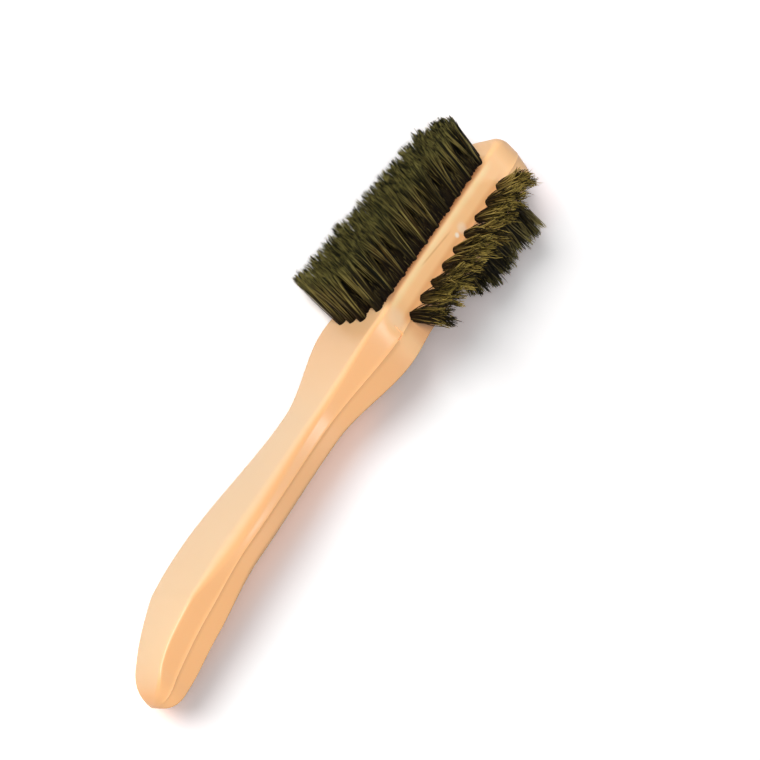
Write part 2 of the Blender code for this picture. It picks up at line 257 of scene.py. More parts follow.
def closedMesh(bm, name):
    bmesh.ops.recalc_face_normals(bm, faces=bm.faces[:])
    mesh = bpy.data.meshes.new(name)
    bm.to_mesh(mesh)
    bm.free()
    return mesh


def makeShell():
    bm = bmesh.new()
    rings = [[bm.verts.new(p) for p in sectionRing(x)] for x in ringPlaces()]
    for ring, after in zip(rings, rings[1:]):
        for i in range(len(ring)):
            j = (i + 1) % len(ring)
            bm.faces.new((ring[i], after[i], after[j], ring[j]))
    bm.faces.new(rings[0])
    bm.faces.new(list(reversed(rings[-1])))
    return addItem("handle_shell", closedMesh(bm, "handle_shell"))


# Tuft rows, laid out as the drilled holes are
tufts = {
    "pitch": 0.0070,
    "frontStart": 0.0058,       # how far the outer front rows start before the side brush
    "backStart": 0.0370,
    "outerOffset": 0.0096,      # of the outer front rows from the middle
    "backOffset": 0.0052,
    # each row's share of the offset, its tufts and how many pitches earlier it starts
    "frontRows": [(1, 10, 0), (0.5, 11, 0.5), (0, 11, 0.5), (-0.5, 11, 0.5), (-1, 10, 0)],
    "backRows": [(1, 4, 0), (0, 5, 0.5), (-1, 4, 0)],
    "sideTufts": 9,
    "holeDepth": 0.0030,
    "holeMargin": 0.00012,      # the hole is this much wider than its tuft
    "holeSides": 14,
}


def tuftRow(group, number, y, z, taper, outward, start, count):
    return {
        "node": f"{group}_row_{number}" if number else f"{group}_row", "group": group, "number": number,
        "offset": z, "origin": brushOrigin + Vector((0, y, z)),
        "along": Vector((math.cos(taper), 0, -math.sin(taper))), "outward": Vector(outward),
        "places": [start + i * tufts["pitch"] for i in range(count)],
    }


def rowLayout():
    rows = []
    for n, (share, count, lag) in enumerate(tufts["frontRows"]):
        start = -tufts["frontStart"] - lag * tufts["pitch"]
        rows.append(tuftRow("front", n + 1, body["headFront"], share * tufts["outerOffset"],
                            taperAngle * share, (0, 1, 0), start, count))
    rows.append(tuftRow("side", 0, 0, body["headRootHalfWidth"], taperAngle,
                        (math.sin(taperAngle), 0, math.cos(taperAngle)), 0, tufts["sideTufts"]))
    for n, (share, count, lag) in enumerate(tufts["backRows"]):
        start = tufts["backStart"] - lag * tufts["pitch"]
        rows.append(tuftRow("back", n + 1, -body["headBack"], share * tufts["backOffset"],
                            0, (0, -1, 0), start, count))
    return rows


# Small helpers for the node trees

def byIdent(sockets, ident):
    return next(s for s in sockets if s.identifier == ident)


def feed(tree, value, socket):
    if isinstance(value, bpy.types.NodeSocket):
        tree.links.new(value, socket)
    else:
        socket.default_value = value


def addNode(tree, kind, inputs=None, **settings):
    node = tree.nodes.new(kind)
    for name, value in settings.items():
        setattr(node, name, value)
    for key, value in (inputs or {}).items():
        feed(tree, value, node.inputs[key])
    return node


def addMath(tree, operation, *values):
    return addNode(tree, "ShaderNodeMath", dict(enumerate(values)), operation=operation).outputs[0]


def multiply(tree, result, *values):
    for value in values:
        result = addMath(tree, "MULTIPLY", result, value)
    return result


def addUp(tree, result, *values):
    for value in values:
        result = addMath(tree, "ADD", result, value)
    return result


def addVector(tree, operation, *values):
    return addNode(tree, "ShaderNodeVectorMath", dict(enumerate(values)), operation=operation).outputs[0]


def scaled(tree, vector, factor):
    return addNode(tree, "ShaderNodeVectorMath", {0: vector, "Scale": factor}, operation="SCALE").outputs[0]


def addMix(tree, factor, a, b, kind="Float"):
    # kind is Float or Color, as in the sockets' identifiers
    node = addNode(tree, "ShaderNodeMix", data_type="RGBA" if kind == "Color" else "FLOAT")
    for key, value in (("Factor_Float", factor), ("A_" + kind, a), ("B_" + kind, b)):
        feed(tree, value, byIdent(node.inputs, key))
    return byIdent(node.outputs, "Result_" + kind)


def addRange(tree, value, ends, low=0.0, high=1.0, smooth=True):
    inputs = {"Value": value, "From Min": ends[0], "From Max": ends[1], "To Min": low, "To Max": high}
    kind = "SMOOTHSTEP" if smooth else "LINEAR"
    return addNode(tree, "ShaderNodeMapRange", inputs, interpolation_type=kind).outputs[0]


def fromOrigin(axis, ends):
    # places of the brush as places in the frame
    return [brushOrigin[axis] + end for end in ends]


def objectPlace(tree):
    place = addNode(tree, "ShaderNodeTexCoord").outputs["Object"]
    return place, addNode(tree, "ShaderNodeSeparateXYZ", {0: place}).outputs


def storeValue(tree, geometry, name, value, kind="FLOAT"):
    node = addNode(tree, "GeometryNodeStoreNamedAttribute", {"Geometry": geometry, "Name": name},
                   data_type=kind, domain="POINT")
    tree.links.new(value, node.inputs["Value"])
    return node.outputs["Geometry"]


def readValue(tree, name, kind="FLOAT"):
    node = addNode(tree, "GeometryNodeInputNamedAttribute", {"Name": name}, data_type=kind)
    return node.outputs["Attribute"]


socketKinds = {int: "NodeSocketInt", float: "NodeSocketFloat", Vector: "NodeSocketVector",
               type(None): "NodeSocketMaterial"}


def newTree(name, sockets):
    # each socket's kind follows from its default, and the material's default is None
    tree = bpy.data.node_groups.new(name, "GeometryNodeTree")
    tree.interface.new_socket("Geometry", in_out="INPUT", socket_type="NodeSocketGeometry")
    for label, value in sockets.items():
        socket = tree.interface.new_socket(label, in_out="INPUT", socket_type=socketKinds[type(value)])
        if value is not None:
            socket.default_value = value
    tree.interface.new_socket("Geometry", in_out="OUTPUT", socket_type="NodeSocketGeometry")
    return tree


def finishTree(tree, geometry, material):
    whole = addNode(tree, "GeometryNodeRealizeInstances", {"Geometry": geometry})
    dressed = addNode(tree, "GeometryNodeSetMaterial", {"Geometry": whole.outputs[0], "Material": material})
    addNode(tree, "NodeGroupOutput", {"Geometry": dressed.outputs[0]})
    return tree


def runTree(source, tree, values, name):
    # puts the tree on the source points and returns its result as a plain mesh object
    modifier = source.modifiers.new(tree.name, "NODES")
    modifier.node_group = tree
    idents = {s.name: s.identifier for s in tree.interface.items_tree
              if s.item_type == "SOCKET" and s.in_out == "INPUT"}
    for label, value in values.items():
        modifier[idents[label]] = value
    bpy.context.view_layer.update()
    graph = bpy.context.evaluated_depsgraph_get()
    mesh = bpy.data.meshes.new_from_object(source.evaluated_get(graph))
    mesh.name = name
    bpy.data.objects.remove(source)
    return addItem(name, mesh)


def tuftPoints(row, attributes):
    mesh = bpy.data.meshes.new(row["node"] + "_points")
    mesh.from_pydata([row["origin"] + row["along"] * x for x in row["places"]], [], [])
    for name, values in attributes.items():
        layer = mesh.attributes.new(name, "FLOAT", "POINT")
        layer.data.foreach_set("value", values)
    return addItem(row["node"] + "_points", mesh)


# Drilled holes

def holeTree():
    tree = newTree("tuftHoles", {
        "Radius": 0.0013, "Depth": 0.003, "Outward": Vector((0, 0, 1)), "Material": None})
    entry = addNode(tree, "NodeGroupInput").outputs
    depth = addMath(tree, "MULTIPLY", entry["Depth"], 2.0)      # half of the drill stands outside the face
    drill = addNode(tree, "GeometryNodeMeshCylinder", {
        "Vertices": tufts["holeSides"], "Radius": entry["Radius"], "Depth": depth})
    turn = addNode(tree, "FunctionNodeAlignRotationToVector", {"Vector": entry["Outward"]}, axis="Z")
    points = addNode(tree, "GeometryNodeMeshToPoints", {"Mesh": entry["Geometry"]})
    holes = addNode(tree, "GeometryNodeInstanceOnPoints", {
        "Points": points.outputs[0], "Instance": drill.outputs["Mesh"], "Rotation": turn.outputs[0]})
    return finishTree(tree, holes.outputs[0], entry["Material"])


def cutAway(shell, cutters, useSelf=False):
    for cutter in cutters:
        cut = shell.modifiers.new(cutter.name, "BOOLEAN")
        cut.operation = "DIFFERENCE"
        cut.solver = "EXACT"
        cut.use_self = useSelf
        cut.object = cutter
    graph = bpy.context.evaluated_depsgraph_get()
    shell.data = bpy.data.meshes.new_from_object(shell.evaluated_get(graph))
    shell.modifiers.clear()
    for cutter in cutters:
        bpy.data.objects.remove(cutter)


def drillHoles(shell, rows, material):
    tree = holeTree()
    drills = []
    for row in rows:
        drills.append(runTree(tuftPoints(row, {}), tree, {
            "Radius": hair[row["group"]]["rootRadius"] + tufts["holeMargin"], "Depth": tufts["holeDepth"],
            "Outward": row["outward"], "Material": material,
        }, row["node"] + "_drill"))
    cutAway(shell, drills)
    shell.data.name = "handle_shell"
    shell.data.shade_smooth()
    shell.data.set_sharp_from_angle(angle=math.radians(body["sharpAngle"]))


# The small corner-shaped groove that the mould leaves on the side, just behind the side brush

mouldMark = {"fromTuft": 0.0078, "along": 0.0028, "across": 0.0036, "width": 0.0005, "depth": 0.0004,
             "cutterTop": 0.0015}


def cutMouldMark(shell):
    x = -mouldMark["fromTuft"]
    corner = Vector((x, 0, halfWidth(x)))
    end = Vector((x - mouldMark["along"], 0, halfWidth(x - mouldMark["along"])))
    along = (corner - end).normalized()
    outward = Vector((-along.z, 0, along.x))
    across = outward.cross(along)
    half = mouldMark["width"] / 2
    bm = bmesh.new()
    for direction, side, start, stop in ((along, across, -mouldMark["along"], half),
                                         (across, along, -half, mouldMark["across"])):
        corners = []
        for height in (-mouldMark["depth"], mouldMark["cutterTop"]):
            for reach, offset in ((start, -half), (stop, -half), (stop, half), (start, half)):
                place = corner + direction * reach + side * offset + outward * height
                corners.append(bm.verts.new(place + brushOrigin))
        for quad in ((0, 1, 2, 3), (4, 5, 6, 7), (0, 1, 5, 4), (1, 2, 6, 5), (2, 3, 7, 6), (3, 0, 4, 7)):
            bm.faces.new([corners[i] for i in quad])
    mesh = closedMesh(bm, "mark_cutter")
    for material in shell.data.materials:
        mesh.materials.append(material)
    cutAway(shell, [addItem("mark_cutter", mesh)], useSelf=True)


# Bristles: every hair grows from its tuft's hole, fans out and is trimmed to the brush's level

# "rise" is how late a tuft opens, "dome" how much lower its rim ends than its middle, "endSpread" the share
# of the fan on the free side of an end tuft, "pale" the tone of the end tufts, and "under" the short dark
# hairs, a painted shade between tufts
hair = {
    "front": {
        "count": 240, "length": 0.0190, "lengthAtTip": 0.0167, "radius": 0.00016, "rootRadius": 0.00135,
        "flare": 0.0003, "fanAlong": 0.0023, "fanAcross": 0.0008, "rise": 1.7, "endSpread": 0.20,
        "dome": 0.0009, "uneven": 0.0009, "bend": 0.0005, "wave": 0.00015, "scatter": 0.0005,
        "clumps": 30, "clumpPull": 0.75, "clumpScatter": 0.0010, "strayShare": 0.006, "strayReach": 6.0,
        "paleFirst": 0.05, "paleLast": -0.03, "leanFirst": -0.0013, "leanLast": 0.0002, "leanOut": 0.04,
        "tuftLean": 0.0004, "tuftUneven": 0.0004, "underShare": 0.36, "underReach": 0.0037,
        "underWidth": 0.0006, "underShift": 0.0004, "seed": 11,
    },
    "side": {
        "count": 200, "length": 0.0180, "lengthAtTip": 0.0166, "radius": 0.00017, "rootRadius": 0.00125,
        "flare": 0.0003, "fanAlong": 0.0023, "fanAcross": 0.0024, "rise": 1.8, "endSpread": 0.8,
        "dome": 0.0020, "uneven": 0.0011, "bend": 0.0015, "wave": 0.0005, "scatter": 0.0007,
        "clumps": 22, "clumpPull": 0.75, "clumpScatter": 0.0018, "strayShare": 0.018, "strayReach": 5.0,
        "paleFirst": -0.16, "paleLast": 0.05, "leanFirst": -0.0010, "leanLast": -0.0002, "leanOut": 0.0,
        "tuftLean": 0.0008, "tuftUneven": 0.0006, "underShare": 0.0, "underReach": 0.0010,
        "underWidth": 0.0008, "underShift": 0.0, "seed": 37,
    },
    "back": {
        "count": 280, "length": 0.0136, "lengthAtTip": 0.0144, "radius": 0.00016, "rootRadius": 0.0015,
        "flare": 0.0008, "fanAlong": 0.0022, "fanAcross": 0.0018, "rise": 1.2, "endSpread": 0.7,
        "dome": 0.0018, "uneven": 0.0010, "bend": 0.0010, "wave": 0.0003, "scatter": 0.0006,
        "clumps": 26, "clumpPull": 0.75, "clumpScatter": 0.0018, "strayShare": 0.014, "strayReach": 7.0,
        "paleFirst": -0.06, "paleLast": 0.10, "leanFirst": -0.0002, "leanLast": 0.0002, "leanOut": -0.12,
        "tuftLean": 0.0004, "tuftUneven": 0.0004, "underShare": 0.30, "underReach": 0.0034,
        "underWidth": 0.0014, "underShift": 0.0, "seed": 71,
    },
}
hairShape = {
    "sink": 0.0012, "steps": 9, "sides": 3, "tipTaper": 0.65, "taperPower": 3.0, "flareHeight": 0.09,
    "waves": 1.4, "sideFirstLean": -0.0028,
    "fill": 0.85,                   # how much of the round hole the clumps fill
    "clumpStep": 64.0,              # more than the clumps of any tuft, so that each has its own number
    "clumpPick": 0.9999,            # short of 1, so that no hair falls past the last clump
    # the lowest and the highest of each draw: three for the heights, one for the opening, one for the bends
    "hairDraw": (-1.0, 0.6), "clumpDraw": (-1.0, 0.5), "tuftDraw": (-1, 0.4), "flareDraw": (0.3, 1.3),
    "swayDraw": (0.2, 1.0),
    "underFrom": 0.33,              # how near its tuft an under hair may stand, as a share of its reach
    # the under hairs' colour stops at this share of the way from the root, so they stay dark as painted
    # shade
    "underHeight": (0.2, 0.5), "underCalm": 0.25, "underPlace": 0.2,
    "endTuftLean": 0.3,             # the end tufts lean by this share of the others' chance lean
    "layoutSeed": 100, "rowSeed": 13,
}

# each random draw of a hair has its own step past the row's seed
drawSteps = {
    "clump": 0, "turn": 1, "reach": 2, "stray": 3, "hairAlong": 4, "hairAcross": 5, "hairHeight": 6,
    "clumpHeight": 7, "bendTurn": 8, "bendSize": 9, "hairShade": 10, "clumpShade": 11, "underAlong": 12,
    "under": 13, "underHeight": 14, "clumpAlong": 15, "clumpAcross": 16, "tuftShade": 17, "waveTurn": 19,
    "waveSize": 20, "underAcross": 21, "opening": 22,
}

# the tree's inputs and the settings above that fill them
bristleInputs = {
    "Hairs": "count", "Root radius": "rootRadius", "Sink": "sink", "Fan along": "fanAlong",
    "Fan across": "fanAcross", "Uneven": "uneven", "Scatter": "scatter", "Stray share": "strayShare",
    "Stray reach": "strayReach", "Bend": "bend", "Wave": "wave", "Waves": "waves", "Flare": "flare",
    "Flare height": "flareHeight", "Dome": "dome", "Under share": "underShare", "Under reach": "underReach",
    "Under width": "underWidth", "Rise": "rise", "Clumps": "clumps", "Clump pull": "clumpPull",
    "Clump scatter": "clumpScatter", "Hair radius": "radius", "Tip taper": "tipTaper", "Steps": "steps",
    "Sides": "sides",
}


def bristleValues(group):
    settings = {**hairShape, **hair[group]}
    return {label: settings[key] for label, key in bristleInputs.items()}


def hairTree():
    tree = newTree("bristleRow", {
        **bristleValues("front"), "Along": Vector((1, 0, 0)), "Across": Vector((0, 1, 0)),
        "Outward": Vector((0, 0, 1)), "Seed": 1, "Material": None})
    entry = addNode(tree, "NodeGroupInput").outputs

    def times(*values):
        return multiply(tree, *values)

    def plus(*values):
        return addUp(tree, *values)

    def minus(a, b):
        return addMath(tree, "SUBTRACT", a, b)

    def draw(name, low=0.0, high=1.0, ident=None):
        node = addNode(tree, "FunctionNodeRandomValue", data_type="FLOAT")
        seed = plus(entry["Seed"], float(drawSteps[name]))
        for key, value in (("Min_001", low), ("Max_001", high), ("Seed", seed)):
            feed(tree, value, byIdent(node.inputs, key))
        if ident is not None:
            feed(tree, ident, byIdent(node.inputs, "ID"))
        return byIdent(node.outputs, "Value_001")

    def onDisc(angle, reach):
        return times(addMath(tree, "COSINE", angle), reach), times(addMath(tree, "SINE", angle), reach)

    def inRow(x, y):
        # from places along and across the row to a vector
        return addVector(tree, "ADD", scaled(tree, entry["Along"], x), scaled(tree, entry["Across"], y))

    def sway(name, most):
        size = times(draw(name + "Size", *hairShape["swayDraw"]), most)
        return inRow(*onDisc(draw(name + "Turn", 0.0, 2 * math.pi), size))

    centres = addNode(tree, "GeometryNodeMeshToPoints", {"Mesh": entry["Geometry"]}).outputs[0]
    centres = storeValue(tree, centres, "tuftNumber", addNode(tree, "GeometryNodeInputIndex").outputs[0])
    hairs = addNode(tree, "GeometryNodeDuplicateElements",
                    {"Geometry": centres, "Amount": entry["Hairs"]}, domain="POINT").outputs[0]
    tuftNumber = readValue(tree, "tuftNumber")

    # a hair belongs to one of the clumps, which fill the round hole in a sunflower pattern
    clump = addMath(tree, "FLOOR", times(draw("clump", high=hairShape["clumpPick"]), entry["Clumps"]))
    clumpAngle = plus(times(clump, math.pi * (3 - math.sqrt(5))), tuftNumber)
    filled = addMath(tree, "DIVIDE", plus(clump, 0.5), entry["Clumps"])
    clumpX, clumpY = onDisc(clumpAngle, addMath(tree, "SQRT", filled))
    clumpIdent = plus(times(tuftNumber, hairShape["clumpStep"]), clump)

    # its own place inside the clump
    angle = draw("turn", 0.0, 2 * math.pi)
    clumpsAcross = addMath(tree, "SQRT", entry["Clumps"])
    ownX, ownY = onDisc(angle, addMath(tree, "DIVIDE", addMath(tree, "SQRT", draw("reach")), clumpsAcross))
    discX = times(plus(clumpX, ownX), hairShape["fill"])
    discY = times(plus(clumpY, ownY), hairShape["fill"])

    stray = addMath(tree, "LESS_THAN", draw("stray"), entry["Stray share"])
    strayFactor = plus(1.0, times(stray, entry["Stray reach"]))

    def endShareOf(value):
        # the first and last tuft of a row spread less on their free side
        return addMix(tree, addMath(tree, "GREATER_THAN", value, 0.0),
                      readValue(tree, "spreadBefore"), readValue(tree, "spreadAfter"))

    def sideways(way, disc, clump, share):
        pulled = plus(times(disc, minus(1.0, entry["Clump pull"])), times(clump, entry["Clump pull"]))
        loose = times(draw("hair" + way, -1.0, 1.0), entry["Scatter"], strayFactor)
        turned = times(draw("clump" + way, -1.0, 1.0, clumpIdent), entry["Clump scatter"])
        spread = plus(times(pulled, entry["Fan " + way.lower()]), plus(loose, turned))
        return plus(times(spread, share), readValue(tree, "lean" + way))

    leanX = sideways("Along", discX, clumpX, endShareOf(discX))
    leanY = sideways("Across", discY, clumpY, 1.0)

    # short hairs in the dark root colour stand between the tufts of a row and fill the floor there: a
    # painted shade
    under = addMath(tree, "LESS_THAN", draw("under"), entry["Under share"])
    sign = addMath(tree, "SIGN", addMath(tree, "COSINE", angle))
    gapX = times(sign, draw("underAlong", hairShape["underFrom"]), entry["Under reach"], endShareOf(sign))
    gapY = plus(times(draw("underAcross", -1.0, 1.0), entry["Under width"]), readValue(tree, "underShift"))
    calm = addMix(tree, under, 1.0, hairShape["underCalm"])

    # where it stands, how far it leans, opens and bends, and how high it reaches
    root = inRow(addMix(tree, under, times(discX, entry["Root radius"]), gapX),
                 addMix(tree, under, times(discY, entry["Root radius"]), gapY))
    root = addVector(tree, "SUBTRACT", root, scaled(tree, entry["Outward"], entry["Sink"]))
    root = addVector(tree, "ADD", addNode(tree, "GeometryNodeInputPosition").outputs[0], root)
    ragged = plus(times(draw("hairHeight", *hairShape["hairDraw"]), entry["Uneven"]),
                  times(draw("clumpHeight", *hairShape["clumpDraw"], clumpIdent), entry["Uneven"]))
    ragged = minus(ragged, times(plus(times(discX, discX), times(discY, discY)), entry["Dome"]))
    height = plus(readValue(tree, "tuftLength"), ragged, entry["Sink"])
    short = times(height, draw("underHeight", *hairShape["underHeight"]))
    opening = times(entry["Flare"], draw("opening", *hairShape["flareDraw"]), calm)
    vectors = {
        "hairRoot": root,
        "hairUp": scaled(tree, entry["Outward"], addMix(tree, under, height, short)),
        "hairLean": inRow(times(leanX, calm), times(leanY, calm)),
        "hairFlare": inRow(times(discX, opening), times(discY, opening)),
        "hairBend": sway("bend", entry["Bend"]),
        "hairWave": sway("wave", entry["Wave"]),
    }
    numbers = {
        "hairReach": addMix(tree, under, 1.0, hairShape["underPlace"]),
        "hairShade": draw("hairShade"),
        "hairOutside": minus(filled, 0.5),
        "hairFlank": addMath(tree, "ABSOLUTE", discX),
        "clumpShade": draw("clumpShade", ident=clumpIdent),
        "tuftShade": draw("tuftShade", ident=tuftNumber),
    }
    for name, value in vectors.items():
        hairs = storeValue(tree, hairs, name, value, "FLOAT_VECTOR")
    for name, value in numbers.items():
        hairs = storeValue(tree, hairs, name, value)

    # one straight line for each hair, then drawn to its own root, tip and bend
    line = addNode(tree, "GeometryNodeCurvePrimitiveLine", {"End": (0, 0, 1)})
    line = addNode(tree, "GeometryNodeResampleCurve", {"Curve": line.outputs[0], "Count": entry["Steps"]})
    strands = addNode(tree, "GeometryNodeInstanceOnPoints", {"Points": hairs, "Instance": line.outputs[0]})
    strands = addNode(tree, "GeometryNodeRealizeInstances", {"Geometry": strands.outputs[0]}).outputs[0]
    place = addNode(tree, "GeometryNodeSplineParameter").outputs["Factor"]
    turns = times(place, entry["Waves"], 2 * math.pi)
    position = readValue(tree, "hairRoot", "FLOAT_VECTOR")
    for name, share in (
        ("hairUp", place),
        ("hairLean", addMath(tree, "POWER", place, entry["Rise"])),
        ("hairFlare", addMath(tree, "DIVIDE", place, plus(place, entry["Flare height"]))),
        ("hairBend", addMath(tree, "SINE", times(place, math.pi))),
        ("hairWave", times(addMath(tree, "SINE", turns), place)),
    ):
        moved = scaled(tree, readValue(tree, name, "FLOAT_VECTOR"), share)
        position = addVector(tree, "ADD", position, moved)
    strands = addNode(tree, "GeometryNodeSetPosition", {"Geometry": strands, "Position": position})
    strands = storeValue(tree, strands.outputs[0], "hairPlace", times(place, readValue(tree, "hairReach")))
    thinned = minus(1.0, times(addMath(tree, "POWER", place, hairShape["taperPower"]), entry["Tip taper"]))
    profile = addNode(tree, "GeometryNodeCurvePrimitiveCircle", {
        "Resolution": entry["Sides"], "Radius": 1.0})
    skin = addNode(tree, "GeometryNodeCurveToMesh", {
        "Curve": strands, "Profile Curve": profile.outputs[0],
        "Scale": times(entry["Hair radius"], thinned), "Fill Caps": True})
    smooth = addNode(tree, "GeometryNodeSetShadeSmooth", {"Geometry": skin.outputs[0]})
    return finishTree(tree, smooth.outputs[0], entry["Material"])


def rowAttributes(row):
    places = row["places"]
    group = hair[row["group"]]
    outer = 1 if row["outward"].cross(row["along"]).z > 0 else -1
    side = int(row["offset"] / tufts["outerOffset"])      # 1 or -1 on the outer rows only
    chance = np.random.default_rng(group["seed"] * hairShape["layoutSeed"] + row["number"])
    tuftValues = []
    for x in places:
        share = (x - places[0]) / (places[-1] - places[0])
        first, last = x == places[0], x == places[-1]
        turn = chance.uniform(-1, 1, 2) * group["tuftLean"]
        lean = group["leanFirst"] * (1 - share) + group["leanLast"] * share
        length = group["length"] * (1 - share) + group["lengthAtTip"] * share
        tuftValues.append({
            "tuftLength": length + chance.uniform(*hairShape["tuftDraw"]) * group["tuftUneven"],
            "leanAlong": lean + turn[0] * (hairShape["endTuftLean"] if first or last else 1),
            "leanAcross": group["leanOut"] * row["offset"] * outer + turn[1],
            "spreadBefore": group["endSpread"] if first else 1.0,
            "spreadAfter": group["endSpread"] if last else 1.0,
            "underShift": group["underShift"] * side * outer,
            "tuftPale": group["paleFirst"] * first + group["paleLast"] * last,
        })
    if row["group"] == "side":
        # the first tuft of the side row is bent over towards the back
        tuftValues[0]["leanAcross"] += hairShape["sideFirstLean"]
    return {name: [values[name] for values in tuftValues] for name in tuftValues[0]}


def growHair(row, tree, material):
    seed = hair[row["group"]]["seed"] + hairShape["rowSeed"] * row["number"]
    return runTree(tuftPoints(row, rowAttributes(row)), tree, {
        **bristleValues(row["group"]), "Along": row["along"], "Across": row["outward"].cross(row["along"]),
        "Outward": row["outward"], "Seed": seed, "Material": material,
    }, row["node"].replace("row", "hair"))


# Materials

def newMaterial(name):
    material = bpy.data.materials.new(name)
    material.use_nodes = True
    tree = material.node_tree
    tree.nodes.clear()
    shader = addNode(tree, "ShaderNodeBsdfPrincipled")
    addNode(tree, "ShaderNodeOutputMaterial", {"Surface": shader.outputs[0]})
    return material, tree, shader


# places are measured from the brush's own origin
plastic = {
    "colour": (0.875, 0.472, 0.208, 1), "warm": (0.850, 0.435, 0.182, 1),
    # the head is painted paler: painted light that makes up for the shade the side brush casts on its wall
    "headPaintedLightColour": (1.0, 0.585, 0.278, 1), "headEnds": (-0.016, -0.006),
    # the handle's front and back faces are painted paler and greyer by the way they face: a painted sheen
    "faceSheenColour": (0.855, 0.583, 0.337, 1), "faceTurn": (0.45, 0.97), "faceEnd": 0.010,
    # a thin darker line painted along the side of the head: painted shade of a fine groove
    "lineFrom": (0.0160, 0.0064), "lineTo": (0.0300, 0.0052), "lineWidth": 0.00045, "lineStrength": 0.55,
    "lineFade": 0.002, "grooveShadeColour": (0.62, 0.30, 0.11, 1),
    "roughness": (0.40, 0.52), "specular": 0.3, "coat": 0.3, "headCoat": 0.15, "coatRoughness": 0.24,
    "grainScale": 900.0, "grainDetail": 2.0, "grainStrength": 0.06, "grainDepth": 0.00005,
    "mottleScale": 38.0, "mottleDetail": 3.0,
    "milkiness": 0.12, "milkDepth": 0.002, "milkReach": (1.0, 0.45, 0.2),
    # painted highlights, glints of the lamp on the side: place along and across the brush, radius, strength
    "paintedHighlights": [(-0.0055, 0.0040, 0.0050, 0.25), (0.0320, 0.0026, 0.0012, 1.0),
              (0.0351, 0.0026, 0.0026, 0.40)],
    "highlightColour": (1.0, 0.84, 0.68, 1), "highlightCore": 0.25,
}

# painted light and shade on the wall beside the front tufts, band by band below
wall = {
    "start": (-0.007, -0.001), "stop": (0.062, 0.054),
    # a painted highlight band
    "ridge": (0.0052, 0.0072), "ridgeTop": (0.0086, 0.0074), "ridgeHighlightColour": (1.0, 0.690, 0.350, 1),
    # painted shade at the wall's edge by the front tufts
    "edge": (0.0076, 0.0090), "edgeShadeColour": (0.36, 0.150, 0.055, 1),
    # darker, warmer painted shade by the side row
    "low": (0.0034, 0.0014), "sideRowShadeColour": (0.86, 0.430, 0.180, 1),
}


def paintWallLight(tree, x, y, tint):
    beside = multiply(tree, addRange(tree, x, fromOrigin(0, wall["start"])),
                      addRange(tree, x, fromOrigin(0, wall["stop"])))
    ridge, ridgeTop, edge, low = [
        addRange(tree, y, fromOrigin(1, wall[band])) for band in ("ridge", "ridgeTop", "edge", "low")]
    for mask, colour in ((multiply(tree, ridge, ridgeTop), "ridgeHighlightColour"), (edge, "edgeShadeColour"),
                         (low, "sideRowShadeColour")):
        tint = addMix(tree, multiply(tree, mask, beside), tint, wall[colour], "Color")
    return tint


def grooveShadeLine(tree, x, y, z):
    # painted shade of a fine groove: a thin darker line on the side of the head, beside the front tufts
    (startX, startY), (stopX, stopY) = plastic["lineFrom"], plastic["lineTo"]
    slope = (stopY - startY) / (stopX - startX)
    lineY = addMath(tree, "MULTIPLY_ADD", x, slope,
                    brushOrigin.y + startY - slope * (startX + brushOrigin.x))
    away = addMath(tree, "ABSOLUTE", addMath(tree, "SUBTRACT", y, lineY))
    mask = addRange(tree, away, (plastic["lineWidth"], 0.0), high=plastic["lineStrength"], smooth=False)
    for end, fade in ((startX, plastic["lineFade"]), (stopX, -plastic["lineFade"])):
        ends = fromOrigin(0, (end - fade, end + fade))
        mask = multiply(tree, mask, addRange(tree, x, ends, smooth=False))
    return multiply(tree, mask, addMath(tree, "GREATER_THAN", z, brushOrigin.z))


